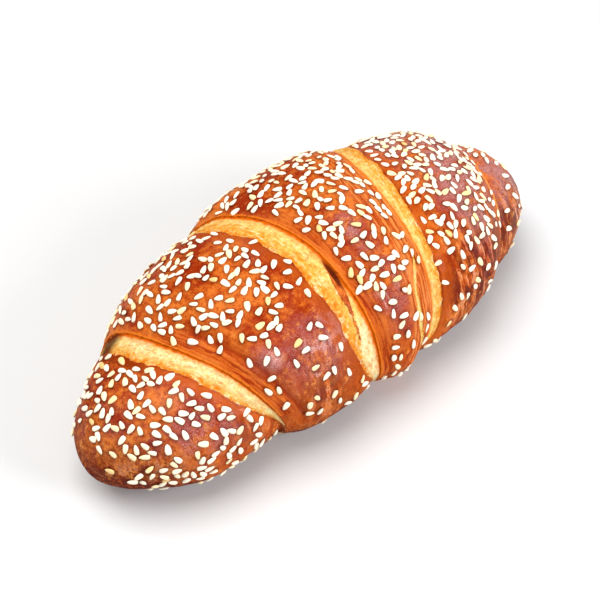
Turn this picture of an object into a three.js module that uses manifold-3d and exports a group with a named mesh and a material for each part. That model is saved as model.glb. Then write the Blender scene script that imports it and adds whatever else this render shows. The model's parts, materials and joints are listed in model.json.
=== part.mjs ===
// A baked croissant of rolled dough with sesame seeds, as one closed solid.
// Millimetres, +Z up, +X towards the far end, -Y towards the front. It rests on z = 0.
// Angles are degrees round the roll: 0 on top, -90 at the front, 90 at the back.
import * as THREE from 'three';
import { ParametricGeometry } from 'three/addons/geometries/ParametricGeometry.js';
import { mergeVertices } from 'three/addons/utils/BufferGeometryUtils.js';
import Module from 'manifold-3d';

// Body: two half lengths from the middle of the roll, and its width and height with the wraps on.
const NEAR_LENGTH = 89.2;
const FAR_LENGTH = 84.5;
const WIDTH = 78.0;
const HEIGHT = 56.9;

// Height of the roll's axis in the middle and at the two end points.
const AXIS_HEIGHT = 23.0;
const NEAR_POINT_HEIGHT = 17.8;
const FAR_POINT_HEIGHT = 18.6;

// How far the round underside would reach below the surface that it was baked on.
const SETTLE = 3.2;
const SOFT_EDGE = 3.0;

// How blunt the two ends are, and how the height above and below the axis follows the width.
const NEAR_BLUNTNESS = 2.2;
const FAR_BLUNTNESS = 2.5;
const UPPER_TAPER = 1.12;
const LOWER_TAPER = 0.84;
const SQUARENESS = 2.13;

// The ends bend towards the front.
const NEAR_BEND = -5.2;
const FAR_BEND = -0.2;

// The dough's wraps: their thickness, the swell of each between its edges, the waist at each edge.
const WRAP_THICKNESS = 2.6;
const SWELL = 0.8;
const WAIST = 1.47;
const WAIST_LENGTH = 5;

// The wraps are thicker over the back, and the inner ones are pressed thin at the front's foot.
const BACK_THICKENING = 0.13;
const BACK_ANGLES = [5, 60, 120, 165];
const FOOT_THINNING = 0.53;
const FOOT_ANGLES = [-130, -50];

// The end lobes swell out: place and length along the roll, measured from the outermost edges.
const NEAR_LOBE = { swell: 2.4, place: 26, length: 14 };
const NEAR_LOBE_BACK = { angles: [10, 70], shift: 1.0, loss: 0.22 };
const FAR_LOBE = { swell: 0.7, place: 14, length: 12 };

// Below this share of the full width the wraps fade out towards the end points.
const WRAPS_FADE = 0.45;

// The dough is a triangle rolled from its base, so its two edges wind outwards from the tip.
// Each list gives an edge's distance from the tip after every quarter turn, from below the roll.
const TIP_PLACE = 3.6;
const NEAR_EDGE = [0, 9.2, 13.4, 29.5, 36.0, 43.3, 60.9, 70.3, 96.0];
const FAR_EDGE = [0, 10.8, 18.5, 33.2, 41.0, 49.0, 60.4, 69.0, 90.0];

// Each edge has torn open in the oven and shows a pale band. From the near end: the band's width,
// the angles over which it opens from the front's foot, and those over which it loses a share.
const BANDS = [
  { width: 6.4, opens: [-110, -45], narrows: [30, 60], loss: 0.25 },
  { width: 8.4, opens: [-135, -62], narrows: [30, 65], loss: 0.45 },
  { width: 7.0, opens: [-125, -92], narrows: [40, 80], loss: 0.4 },
  { width: 1.5, opens: [-110, -60], narrows: [40, 80], loss: 0 },
];
const BANDS_CLOSE = [95, 150];
const HALF_OPEN_BAND = { index: 2, share: 0.7, opens: [-35, 5] };

// A closed edge is sharp on top and smeared out along the underside.
const SHARP_EDGE = 0.3;
const SMEARED_EDGE = 5;
const SMEAR_ANGLES = [115, 155];

// Profile of a torn edge: heights in shares of the wrap's thickness, lengths in millimetres.
const FULLY_OPEN = 3;
const EDGE_HEIGHT = 0.62;
const EDGE_ROUNDING = 3.6;
const EDGE_ROLL = 0.08;
const EDGE_ROLL_LENGTH = 1.5;
const UNDERCUT = 0.12;
const BAND_CURVE = 1.15;
const CRUST_RIM = 0.12;
const CRUST_RIM_LENGTH = 1.3;

// The crust is drawn thin behind each torn edge, with a shallow valley where it begins.
const VALLEY_DEPTHS = [0.9, 0.7, 0.6, 0.2];
const VALLEY_PLACES = [5.6, 8.5, 8.5, 8.5];
const VALLEY_WIDTH = 2.6;
const VALLEY_ANGLES = [-110, -75, 5, 45];

// A large blister low on the front of the second wrap.
const BLISTER = { x: -38.5, angle: -47, height: 1.3, length: 3.8, degrees: 6.5 };

// Sesame seeds: their size, how much narrower one end is, and how far the middle stands out.
const SEED_LENGTH = 3.1;
const SEED_WIDTH = 1.9;
const SEED_THICKNESS = 1.1;
const SEED_TAPER = 0.3;
const SEED_LIFT = 0.05;
const SEED_SIDES = 6;
const SEED_RINGS = 3;

// The fused seeds: how many, how far apart, and the first number and the length of their draw.
const SEED_COUNT = 150;
const SEED_SPACING = 6.6;
const SEED_DRAW = 20711;
const MOST_TRIES = 60000;

// Where seeds lie: how far from the end points and the tray, the angles, and their thinning out.
const SEED_END_GAP = 3;
const SEED_LOWEST = 4;
const SEED_ANGLES = [-130, 135];
const SEEDS_BEHIND_EDGE = [1, 6];
const SEEDS_BEFORE_BAND = [0.5, 2];
const FEWEST_BELOW = 0.12;
const MOST_ON_TOP = [-95, 30, 80, 135];
const FRONT_LIMIT = [-130, -110];
const NEAR_SHARE = 0.65;
const FAR_SIDE = [15, 50];

// Largest area of a patch of crust one millimetre long and one degree wide.
const LARGEST_PATCH = 0.75;

// Moves the body so that the origin is below the middle of its outer box.
const CENTRE_X = 2.35;
const CENTRE_Y = -0.13;

// The surface's grid: rows round the roll, and rows along each stretch between two edges.
// The rows follow the edges on top and are even along the underside.
const ROUND_STEPS = 36;
const LOBE_STEPS = [10, 2, 12, 3, 11, 3, 10, 1, 8];
const ROW_GAP = 0.1;
const FOLLOW_ANGLES = [120, 160];
const SAME_POINT = 1e-4;

const CRUST_COLOUR = 0xc7662f;

const { abs, cos, exp, max, min, sin, sqrt, PI } = Math;

function smooth(value, low, high) {
  const t = THREE.MathUtils.clamp((value - low) / (high - low), 0, 1);
  return t * t * (3 - 2 * t);
}

function hill(value, middle, width) {
  return exp(-(((value - middle) / width) ** 2));
}

// 1 between the two inner angles, and 0 outside the two outer ones.
function between(angle, [rise, top, fall, end]) {
  return smooth(angle, rise, top) * (1 - smooth(angle, fall, end));
}

// A smooth curve through an edge's distances, read at any number of turns.
function wound(distances, turns) {
  const last = distances.length - 1;
  const place = THREE.MathUtils.clamp(turns * 4, 0, last);
  const index = min(Math.floor(place), last - 1);
  const t = place - index;
  const b = distances[index];
  const c = distances[index + 1];
  const a = index > 0 ? distances[index - 1] : 2 * b - c;
  const d = index < last - 1 ? distances[index + 2] : 2 * c - b;
  return b + 0.5 * t * (c - a + t * (2 * a - 5 * b + 4 * c - d + t * (3 * (b - c) + d - a)));
}

// Stations of the four edges at an angle round the roll, from the near end to the far end.
function edges(angle) {
  const turns = (angle + 180) / 360;
  return [
    TIP_PLACE - wound(NEAR_EDGE, turns + 1),
    TIP_PLACE - wound(NEAR_EDGE, turns),
    TIP_PLACE + wound(FAR_EDGE, turns),
    TIP_PLACE + wound(FAR_EDGE, turns + 1),
  ];
}

// Open widths of the four bands, which close again towards the underside.
function openings(angle) {
  const closing = 1 - smooth(angle, ...BANDS_CLOSE);
  const { index: half, share, opens: halfOpens } = HALF_OPEN_BAND;
  return BANDS.map(({ width, opens, narrows, loss }, i) => {
    const open = smooth(angle, ...opens) * (1 - loss * smooth(angle, ...narrows));
    const part = i === half ? share + (1 - share) * smooth(angle, ...halfOpens) : 1;
    return width * open * part * closing;
  });
}

// Length of the slope outside each edge: its open band, and a closed edge's own slope.
function slopes(angle) {
  const closedSlope = SHARP_EDGE + SMEARED_EDGE * smooth(abs(angle), ...SMEAR_ANGLES);
  return openings(angle).map((opening) => opening + closedSlope);
}

// How far a station lies inside each of the four edges.
function insides(x, angle) {
  const [nearOuter, nearInner, farInner, farOuter] = edges(angle);
  return [x - nearOuter, x - nearInner, farInner - x, farOuter - x];
}

// Share of a wrap's thickness at a distance inside its edge; the open band lies outside the edge.
function wrapShare(inside, slope, opening) {
  const opened = THREE.MathUtils.clamp(opening / FULLY_OPEN, 0, 1);
  if (inside >= 0) {
    const rounding = (1 - EDGE_HEIGHT) * (1 - exp(-inside / EDGE_ROUNDING));
    return EDGE_HEIGHT + rounding + EDGE_ROLL * opened * hill(inside, 0, EDGE_ROLL_LENGTH);
  }
  if (inside >= -slope) {
    const climb = sin((PI / 2) * (inside + slope) / slope) ** BAND_CURVE;
    return (EDGE_HEIGHT - UNDERCUT * opened) * climb;
  }
  return CRUST_RIM * opened * exp((slope + inside) / CRUST_RIM_LENGTH);
}

function swellBetween(x, from, to) {
  const t = THREE.MathUtils.clamp((x - from) / max(to - from, 1), 0, 1);
  return 4 * t * (1 - t);
}

// The valleys behind the torn edges, open on the front and the top.
function valleys(x, angle) {
  const depths = insides(x, angle).map((inside, i) => {
    return VALLEY_DEPTHS[i] * hill(inside, VALLEY_PLACES[i], VALLEY_WIDTH);
  });
  return between(angle, VALLEY_ANGLES) * max(...depths);
}

// Share of the blister's height, 1 on its top.
function blisterShare(x, angle) {
  return hill(x, BLISTER.x, BLISTER.length) * hill(angle, BLISTER.angle, BLISTER.degrees);
}

// The swell of the two end lobes.
function lobes(x, angle) {
  const [nearOuter, , , farOuter] = edges(angle);
  const back = smooth(angle, ...NEAR_LOBE_BACK.angles);
  const nearPlace = nearOuter - NEAR_LOBE.place - NEAR_LOBE_BACK.shift * back;
  const near = hill(x, nearPlace, NEAR_LOBE.length) * (1 - NEAR_LOBE_BACK.loss * back);
  const far = hill(x, farOuter + FAR_LOBE.place, FAR_LOBE.length);
  return NEAR_LOBE.swell * near + FAR_LOBE.swell * far;
}

// How many wraps lie over the innermost one, less what the winding itself adds in a turn.
function layers(x, angle) {
  const slope = slopes(angle);
  const opening = openings(angle);
  const [nearOuter, nearInner, farInner, farOuter] = insides(x, angle)
    .map((inside, i) => wrapShare(inside, slope[i], opening[i]));
  const foot = 1 - FOOT_THINNING * (1 - smooth(angle, ...FOOT_ANGLES));
  return (nearInner + farInner - 1) * foot + nearOuter + farOuter - 1 - (angle + 180) / 360;
}

// What the wraps add to the roll's radius.
function wrapHeight(x, angle) {
  const [nearOuter, nearInner, farInner, farOuter] = edges(angle);
  const slope = slopes(angle);
  const thickness = WRAP_THICKNESS * (1 + BACK_THICKENING * between(angle, BACK_ANGLES));
  const swell = swellBetween(x, nearOuter, nearInner - slope[1])
    + swellBetween(x, nearInner, farInner)
    + swellBetween(x, farInner + slope[2], farOuter);
  const waist = insides(x, angle).reduce((sum, inside) => sum + hill(inside, 0, WAIST_LENGTH), 0);
  return thickness * layers(x, angle) + SWELL * swell - WAIST * waist + lobes(x, angle)
    - valleys(x, angle) + BLISTER.height * blisterShare(x, angle);
}

// A point of the surface at a station along the roll and an angle round it.
function surfacePoint(x, angle, target = new THREE.Vector3()) {
  const near = x < 0;
  const along = x / (near ? NEAR_LENGTH : FAR_LENGTH);
  const taper = sqrt(max(1 - abs(along) ** (near ? NEAR_BLUNTNESS : FAR_BLUNTNESS), 0));
  const turn = THREE.MathUtils.degToRad(angle);
  const up = cos(turn);
  const side = sin(turn);
  const square = (abs(up) ** SQUARENESS + abs(side) ** SQUARENESS) ** (-1 / SQUARENESS);
  const wraps = 1.5 * WRAP_THICKNESS + SWELL;
  const halfWidth = (WIDTH / 2 - wraps) * taper;
  const pointHeight = near ? NEAR_POINT_HEIGHT : FAR_POINT_HEIGHT;
  const axisHeight = AXIS_HEIGHT + (pointHeight - AXIS_HEIGHT) * along ** 2;
  const upper = (HEIGHT - AXIS_HEIGHT - wraps) * taper ** UPPER_TAPER;
  const lower = (AXIS_HEIGHT + SETTLE) * taper ** LOWER_TAPER;
  const relief = wrapHeight(x, angle) * smooth(taper, 0, WRAPS_FADE);
  const bend = (near ? NEAR_BEND : FAR_BEND) * along ** 2;
  const height = axisHeight + (up > 0 ? upper : lower) * square * up + relief * up;
  let z = max(height, 0);
  if (abs(height) < SOFT_EDGE) {
    z = (height + SOFT_EDGE) ** 2 / (4 * SOFT_EDGE);
  }
  return target.set(x + CENTRE_X, halfWidth * square * side + relief * side + bend + CENTRE_Y, z);
}

// Stations of the grid's rows.
function stations(angle) {
  const slope = slopes(angle);
  const [nearOuter, nearInner, farInner, farOuter] = edges(angle);
  const stops = [
    [-NEAR_LENGTH, nearOuter - slope[0] - ROW_GAP],
    [nearOuter - slope[0], nearOuter - ROW_GAP],
    [nearOuter, nearInner - slope[1] - ROW_GAP],
    [nearInner - slope[1], nearInner - ROW_GAP],
    [nearInner, farInner],
    [farInner + ROW_GAP, farInner + slope[2]],
    [farInner + slope[2] + ROW_GAP, farOuter],
    [farOuter + ROW_GAP, farOuter + slope[3]],
    [farOuter + slope[3] + ROW_GAP, FAR_LENGTH],
  ];
  const rows = [];
  stops.forEach(([from, to], part) => {
    const steps = LOBE_STEPS[part];
    for (let i = 0; i <= steps; i += 1) {
      let t = i / steps;
      if (part === 0) {
        t = sin((PI / 2) * t);
      }
      if (part === stops.length - 1) {
        t = 1 - cos((PI / 2) * t);
      }
      rows.push(from + (to - from) * t);
    }
  });
  const follow = 1 - smooth(abs(angle), ...FOLLOW_ANGLES);
  const count = rows.length - 1;
  return rows.map((row, i) => {
    const t = sin(PI * (i / count - 0.5));
    const even = t * (t < 0 ? NEAR_LENGTH : FAR_LENGTH);
    return even + (row - even) * follow;
  });
}

function bodyGeometry() {
  const rowsAt = new Map();
  const count = stations(0).length - 1;
  return new ParametricGeometry((u, v, target) => {
    const column = Math.round(v * ROUND_STEPS) % ROUND_STEPS;
    const angle = -180 + (360 * column) / ROUND_STEPS;
    if (!rowsAt.has(column)) {
      rowsAt.set(column, stations(angle));
    }
    const row = THREE.MathUtils.clamp(Math.round(u * count), 0, count);
    surfacePoint(rowsAt.get(column)[row], angle, target);
  }, count, ROUND_STEPS);
}

// Closed, merged geometry without the triangles that shrink to nothing at the two end points.
function closed(geometry) {
  geometry.deleteAttribute('normal');
  geometry.deleteAttribute('uv');
  const merged = mergeVertices(geometry, SAME_POINT);
  const index = merged.index.array;
  const kept = [];
  for (let i = 0; i < index.length; i += 3) {
    const [a, b, c] = [index[i], index[i + 1], index[i + 2]];
    if (a !== b && b !== c && c !== a) {
      kept.push(a, b, c);
    }
  }
  merged.setIndex(kept);
  return merged;
}

const wasm = await Module();
wasm.setup();

function toSolid(geometry) {
  const mesh = closed(geometry);
  return new wasm.Manifold(new wasm.Mesh({
    numProp: 3,
    vertProperties: new Float32Array(mesh.attributes.position.array),
    triVerts: new Uint32Array(mesh.index.array),
  }));
}

function toGeometry(solid) {
  const mesh = solid.getMesh();
  const geometry = new THREE.BufferGeometry();
  geometry.setAttribute('position', new THREE.BufferAttribute(mesh.vertProperties, 3));
  geometry.setIndex(new THREE.BufferAttribute(mesh.triVerts, 1));
  geometry.computeVertexNormals();
  return geometry;
}

// Even draws between 0 and 1 from one starting number, the same on every run.
function drawer(start) {
  let state = start;
  return () => {
    state = (state * 16807) % 2147483647;
    return state / 2147483647;
  };
}

// Share of the crust that seeds cover: most on top and towards the far end, few beside the edges
// and none on the blister.
function seedCover(x, angle) {
  const slope = slopes(angle);
  const clear = min(...insides(x, angle).map((inside, i) => {
    return max(
      smooth(inside, ...SEEDS_BEHIND_EDGE),
      smooth(-inside - slope[i], ...SEEDS_BEFORE_BAND),
    );
  }));
  const topside = FEWEST_BELOW + (1 - FEWEST_BELOW) * between(angle, MOST_ON_TOP);
  const farther = NEAR_SHARE + (1 - NEAR_SHARE) * smooth(x, ...FAR_SIDE);
  const offBlister = max(1 - 2 * blisterShare(x, angle), 0);
  return clear * topside * farther * offBlister * smooth(angle, ...FRONT_LIMIT);
}

function surfaceFrame(x, angle) {
  const step = 0.5;
  const centre = surfacePoint(x, angle);
  const along = surfacePoint(x + step, angle).sub(surfacePoint(x - step, angle));
  const round = surfacePoint(x, angle + step).sub(surfacePoint(x, angle - step));
  const normal = new THREE.Vector3().crossVectors(along, round);
  const area = normal.length() / (4 * step * step);
  return { centre, along: along.normalize(), normal: normal.normalize(), area };
}

// Places of the fused seeds: drawn evenly over the crust's area, thinned by the cover, kept apart.
function seedPlaces() {
  const draw = drawer(SEED_DRAW);
  const [first, last] = SEED_ANGLES;
  const places = [];
  for (let tries = 0; places.length < SEED_COUNT && tries < MOST_TRIES; tries += 1) {
    const x = -NEAR_LENGTH + SEED_END_GAP + (NEAR_LENGTH + FAR_LENGTH - 2 * SEED_END_GAP) * draw();
    const angle = first + (last - first) * draw();
    const chance = draw();
    const turn = 2 * PI * draw();
    const frame = surfaceFrame(x, angle);
    const likely = seedCover(x, angle) * min(frame.area / LARGEST_PATCH, 1);
    const near = places.some((other) => other.centre.distanceTo(frame.centre) < SEED_SPACING);
    if (chance < likely && !near && frame.centre.z > SEED_LOWEST) {
      places.push({ ...frame, turn });
    }
  }
  return places;
}

// A flat drop-shaped seed, narrower towards one end, lying half sunk in the crust.
function seedGeometry({ centre, along, normal, turn }) {
  const geometry = new THREE.SphereGeometry(1, SEED_SIDES, SEED_RINGS);
  const points = geometry.attributes.position;
  for (let i = 0; i < points.count; i += 1) {
    const length = points.getY(i);
    const narrow = 1 - SEED_TAPER * length;
    points.setXYZ(
      i,
      points.getX(i) * narrow * (SEED_WIDTH / 2),
      length * (SEED_LENGTH / 2),
      points.getZ(i) * narrow * (SEED_THICKNESS / 2),
    );
  }
  const across = new THREE.Vector3().crossVectors(normal, along);
  const forward = along.clone().multiplyScalar(cos(turn)).addScaledVector(across, sin(turn));
  const sideways = new THREE.Vector3().crossVectors(forward, normal);
  const matrix = new THREE.Matrix4().makeBasis(sideways, forward, normal);
  matrix.setPosition(centre.clone().addScaledVector(normal, SEED_LIFT));
  return geometry.applyMatrix4(matrix);
}

function croissant() {
  let solid = toSolid(bodyGeometry());
  for (const place of seedPlaces()) {
    solid = solid.add(toSolid(seedGeometry(place)));
  }
  const crust = new THREE.MeshStandardMaterial({ color: CRUST_COLOUR, roughness: 0.45, metalness: 0 });
  const mesh = new THREE.Mesh(toGeometry(solid), crust);
  mesh.name = 'croissant';
  return mesh;
}

const group = new THREE.Group();
group.add(croissant());

export default group;
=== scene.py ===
# %% [markdown]
# A sesame croissant is one sheet of soft dough, cut as a long triangle, rolled up from its base and
# baked until the crust is brown and glossy. The packed model holds its plain solid with the largest
# seeds. This lesson builds the finished croissant over that solid: first the exact frame is loaded,
# then the rolled body, its torn pale bands, the crust, the seeds and the light.

# %% Load the fixed frame
import json
import math

import bpy
import numpy as np
from mathutils import Matrix, Vector, noise
from mathutils.kdtree import KDTree

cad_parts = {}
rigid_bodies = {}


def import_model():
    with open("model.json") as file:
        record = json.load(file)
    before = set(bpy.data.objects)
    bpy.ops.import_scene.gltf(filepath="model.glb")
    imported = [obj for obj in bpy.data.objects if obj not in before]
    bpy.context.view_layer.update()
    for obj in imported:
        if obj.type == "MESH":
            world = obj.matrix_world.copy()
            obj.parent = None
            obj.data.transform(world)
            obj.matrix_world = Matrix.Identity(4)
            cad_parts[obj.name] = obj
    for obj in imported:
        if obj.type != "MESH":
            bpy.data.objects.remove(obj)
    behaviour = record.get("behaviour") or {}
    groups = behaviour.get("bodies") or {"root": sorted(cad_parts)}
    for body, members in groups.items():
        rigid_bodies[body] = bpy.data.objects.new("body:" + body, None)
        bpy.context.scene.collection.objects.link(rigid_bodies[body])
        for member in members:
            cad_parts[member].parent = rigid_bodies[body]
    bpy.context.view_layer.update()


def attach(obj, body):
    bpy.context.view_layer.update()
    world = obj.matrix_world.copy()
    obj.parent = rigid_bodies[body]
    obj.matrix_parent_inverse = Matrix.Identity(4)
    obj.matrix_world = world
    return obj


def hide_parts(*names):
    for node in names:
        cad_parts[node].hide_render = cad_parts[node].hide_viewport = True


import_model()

# %% [markdown]
# The body could be sculpted by hand, but then every ridge would need moving by eye. Instead it is a
# formula with two inputs: the station x along the roll and the angle round it, 0 on top and negative
# on the front. The values are the croissant's real sizes in millimetres, the same as the solid's.

# %% Sizes of the roll
MM = 0.001
NEAR_LENGTH, FAR_LENGTH = 89.2, 84.5
WIDTH, HEIGHT = 78.0, 56.9
AXIS_HEIGHT, NEAR_POINT_HEIGHT, FAR_POINT_HEIGHT = 23.0, 17.8, 18.6
SETTLE, SOFT_EDGE = 3.2, 3.0
NEAR_BLUNTNESS, FAR_BLUNTNESS = 2.2, 2.5
UPPER_TAPER, LOWER_TAPER, SQUARENESS = 1.12, 0.84, 2.13
NEAR_BEND, FAR_BEND = -5.2, -0.2
WRAP_THICKNESS, SWELL = 2.6, 0.8
WAIST, WAIST_LENGTH = 1.47, 5
BACK_THICKENING, FOOT_THINNING, WRAPS_FADE = 0.13, 0.53, 0.45
NEAR_LOBE_SWELL, NEAR_LOBE_PLACE, NEAR_LOBE_LENGTH = 2.4, 26, 14
NEAR_LOBE_SHIFT, NEAR_LOBE_LOSS = 1.0, 0.22
FAR_LOBE_SWELL, FAR_LOBE_PLACE, FAR_LOBE_LENGTH = 0.7, 14, 12
CENTRE_X, CENTRE_Y = 2.35, -0.13
MM_PER_DEGREE = 0.62


def smooth(value, low, high):
    """A soft step from 0 at low to 1 at high."""
    t = np.clip((value - low) / (high - low), 0, 1)
    return t * t * (3 - 2 * t)


def hill(value, centre, width):
    """A round hill, 1 at its centre."""
    return np.exp(-(((value - centre) / width) ** 2))


def grain(a, b=0.0, c=0.0):
    """Perlin noise, about -1 to 1, at each point of up to three coordinate arrays."""
    a, b, c = np.broadcast_arrays(a, b, c)
    values = [noise.noise(point) for point in zip(a.ravel(), b.ravel(), c.ravel())]
    return np.array(values).reshape(a.shape)


# %% [markdown]
# The triangle's two long edges wind outwards from its tip, one towards each end. A smooth curve
# through the distance reached after each quarter turn gives four edges over the top: two that close
# the wide middle wrap, and two further out. Real dough is never straight, so a slow wobble is added.

# %% The winding edges
TIP_PLACE = 3.6
NEAR_EDGE = [0, 9.2, 13.4, 29.5, 36.0, 43.3, 60.9, 70.3, 96.0]
FAR_EDGE = [0, 10.8, 18.5, 33.2, 41.0, 49.0, 60.4, 69.0, 90.0]
WOBBLE = 0.35


def wound(distances, turns):
    """A smooth curve through the distances of each quarter turn."""
    first, last = distances[0], distances[-1]
    v = np.array([2 * first - distances[1], *distances, 2 * last - distances[-2]], float)
    place = np.clip(turns * 4, 0, len(distances) - 1)
    i = np.minimum(place.astype(int), len(distances) - 2)
    t = place - i
    a, b, c, d = v[i], v[i + 1], v[i + 2], v[i + 3]
    return b + 0.5 * t * (c - a + t * (2 * a - 5 * b + 4 * c - d + t * (3 * (b - c) + d - a)))


def edges(angle):
    """Stations of the four edges, from the near end to the far end."""
    turns = (np.asarray(angle, float) + 180) / 360
    wobbles = [WOBBLE * grain(turns * 9, k * 5.3) for k in range(4)]
    shown = 1 - smooth(np.abs(angle), 120, 160)
    return np.array([
        TIP_PLACE - wound(NEAR_EDGE, turns + 1) + wobbles[0] * shown,
        TIP_PLACE - wound(NEAR_EDGE, turns) + wobbles[1] * shown,
        TIP_PLACE + wound(FAR_EDGE, turns) + wobbles[2] * shown,
        TIP_PLACE + wound(FAR_EDGE, turns + 1) + wobbles[3] * shown,
    ])


print("edges over the top, mm:", edges(0).round(1))

# %% [markdown]
# In the oven the roll swells faster than its skin can stretch, so the dough tears along each edge
# and a pale band of crumb opens. One side of a band is the clean lip of the upper wrap, and the
# other is a ragged rim of crust. The ragged side gets its own noise, coarse and fine.

# %% The torn bands
BAND_WIDTHS = [6.4, 8.4, 7.0, 1.5]
SHARP_EDGE, SMEARED_EDGE = 0.3, 5
RAGGED = [0.8, 1.0, 0.9, 0.3]


def openings(angle):
    """Open widths of the four bands."""
    angle = np.asarray(angle, float)
    back = 1 - smooth(angle, 95, 150)
    shown = np.array([
        smooth(angle, -110, -45) * (1 - 0.25 * smooth(angle, 30, 60)),
        smooth(angle, -135, -62) * (1 - 0.45 * smooth(angle, 30, 65)),
        (0.7 + 0.3 * smooth(angle, -35, 5)) * smooth(angle, -125, -92)
        * (1 - 0.4 * smooth(angle, 40, 80)),
        smooth(angle, -110, -60),
    ]) * back
    ragged = np.array([
        size * (grain(angle / 9, k * 3.7, 1.5) + 0.5 * grain(angle / 3.1, k * 3.7, 8.5))
        for k, size in enumerate(RAGGED)
    ])
    return np.array([w * s for w, s in zip(BAND_WIDTHS, shown)]) + ragged * np.sqrt(shown) * shown


def slopes(angle):
    """Length of the slope outside each edge: its open band, and a closed edge's own slope."""
    return openings(angle) + SHARP_EDGE + SMEARED_EDGE * smooth(np.abs(angle), 115, 155)


def insides(x, angle):
    """How far a station lies inside each of the four edges, in mm."""
    near_outer, near_inner, far_inner, far_outer = edges(angle)
    return np.array([x - near_outer, x - near_inner, far_inner - x, far_outer - x])


print("band widths over the top, mm:", openings(0).round(1))

# %% [markdown]
# Each wrap adds one thickness of dough to the roll. Its share rises in a soft curve inside the lip,
# drops a little under the lip, so that a real shadow gap forms, and runs out as a round crumb slope
# to the next wrap's rim. Each lobe also swells, the roll is drawn in at its edges, and a shallow
# valley runs behind each lip. This is the relief that makes the outline stepped like the real one.

# %% Relief of the wraps
EDGE_HEIGHT, UNDERCUT, EDGE_ROLL, CRUST_RIM, EDGE_ROUNDING = 0.62, 0.12, 0.08, 0.12, 3.6
VALLEY_DEPTHS, VALLEY_PLACES = [0.9, 0.7, 0.6, 0.2], [5.6, 8.5, 8.5, 8.5]
VALLEY_WIDTH = 2.6
BLISTER_X, BLISTER_ANGLE, BLISTER_HEIGHT = -38.5, -47, 1.3
BLISTER_LENGTH, BLISTER_DEGREES = 3.8, 6.5
FULLY_OPEN, ROLLED_LENGTH, RIM_LENGTH = 3, 1.5, 1.3


def wrap_share(inside, slope, opening):
    """Share of a wrap's thickness at a distance inside its edge."""
    opened = np.clip(opening / FULLY_OPEN, 0, 1)
    depth = np.maximum(inside, 0)
    lip = EDGE_HEIGHT + (1 - EDGE_HEIGHT) * (1 - np.exp(-depth / EDGE_ROUNDING))
    lip = lip + EDGE_ROLL * opened * np.exp(-((depth / ROLLED_LENGTH) ** 2))
    ramp = np.clip((inside + slope) / slope, 0, 1)
    band = (EDGE_HEIGHT - UNDERCUT * opened) * np.sin(math.pi / 2 * ramp) ** 1.15
    rim = CRUST_RIM * opened * np.exp(np.minimum(slope + inside, 0) / RIM_LENGTH)
    return np.where(inside >= 0, lip, np.where(inside >= -slope, band, rim))


def swell_between(x, start, end):
    t = np.clip((x - start) / np.maximum(end - start, 1), 0, 1)
    return 4 * t * (1 - t)


def wrap_height(x, angle):
    """What the wraps add to the roll's radius."""
    near_outer, near_inner, far_inner, far_outer = edges(angle)
    slope, opening, inside = slopes(angle), openings(angle), insides(x, angle)
    shares = [wrap_share(inside[k], slope[k], opening[k]) for k in range(4)]
    foot = 1 - FOOT_THINNING * (1 - smooth(angle, -130, -50))
    layers = (shares[1] + shares[2] - 1) * foot + shares[0] + shares[3] - 1 - (angle + 180) / 360
    thickness = 1 + BACK_THICKENING * smooth(angle, 5, 60) * (1 - smooth(angle, 120, 165))
    swell = swell_between(x, near_outer, near_inner - slope[1])
    swell = swell + swell_between(x, near_inner, far_inner)
    swell = swell + swell_between(x, far_inner + slope[2], far_outer)
    waist = sum(hill(part, 0, WAIST_LENGTH) for part in inside)
    back = smooth(angle, 10, 70)
    near_place = near_outer - NEAR_LOBE_PLACE - NEAR_LOBE_SHIFT * back
    lobe = NEAR_LOBE_SWELL * hill(x, near_place, NEAR_LOBE_LENGTH) * (1 - NEAR_LOBE_LOSS * back)
    lobe = lobe + FAR_LOBE_SWELL * hill(x, far_outer + FAR_LOBE_PLACE, FAR_LOBE_LENGTH)
    shown = smooth(angle, -110, -75) * (1 - smooth(angle, 5, 45))
    depths = [
        depth * hill(part, place, VALLEY_WIDTH)
        for depth, place, part in zip(VALLEY_DEPTHS, VALLEY_PLACES, inside)
    ]
    blister = hill(x, BLISTER_X, BLISTER_LENGTH) * hill(angle, BLISTER_ANGLE, BLISTER_DEGREES)
    height = WRAP_THICKNESS * thickness * layers + SWELL * swell - WAIST * waist + lobe
    return height - shown * np.max(depths, axis=0) + BLISTER_HEIGHT * blister


print("height added by the wraps in the middle, mm:", wrap_height(TIP_PLACE, 0.0).round(1))

# %% [markdown]
# The roll under the wraps is a squared oval that tapers to a blunt point at each end and settles
# flat where it lay on the tray. The function below puts the relief on it and gives finished points.

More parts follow.
